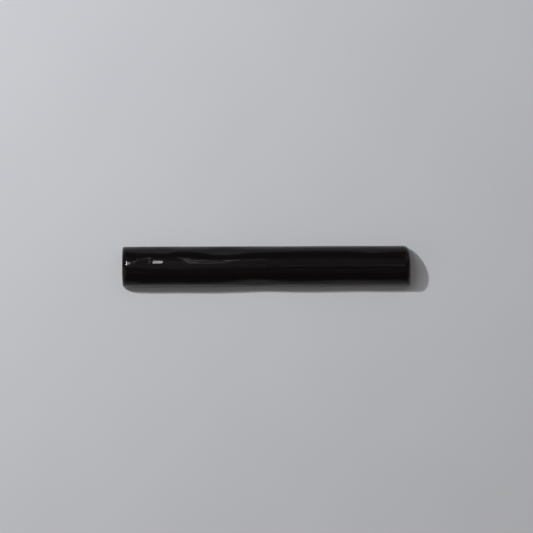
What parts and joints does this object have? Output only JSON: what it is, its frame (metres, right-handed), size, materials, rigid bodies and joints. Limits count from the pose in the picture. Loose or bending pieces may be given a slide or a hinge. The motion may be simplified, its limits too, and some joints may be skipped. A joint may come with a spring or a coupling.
{
  "type": "half-round trim tile",
  "caption": "Half-round glazed ceramic trim tile: a straight pencil moulding with softened ends and a flat keyed back, for finishing the edge of a tiled wall.",
  "frame": {"origin": "middle of the flat back, at half the length and half the width", "axes": "+X along the tile's length, +Z out of the back towards the crown of the dome, +Y across the width"},
  "size_m": [0.2, 0.0286, 0.0173],
  "materials": {
    "black_glaze": "high gloss hand-applied glaze over an unglazed clay back"
  },
  "bodies": {
    "root": {"trim_tile": "black_glaze"}
  },
  "joints": []
}
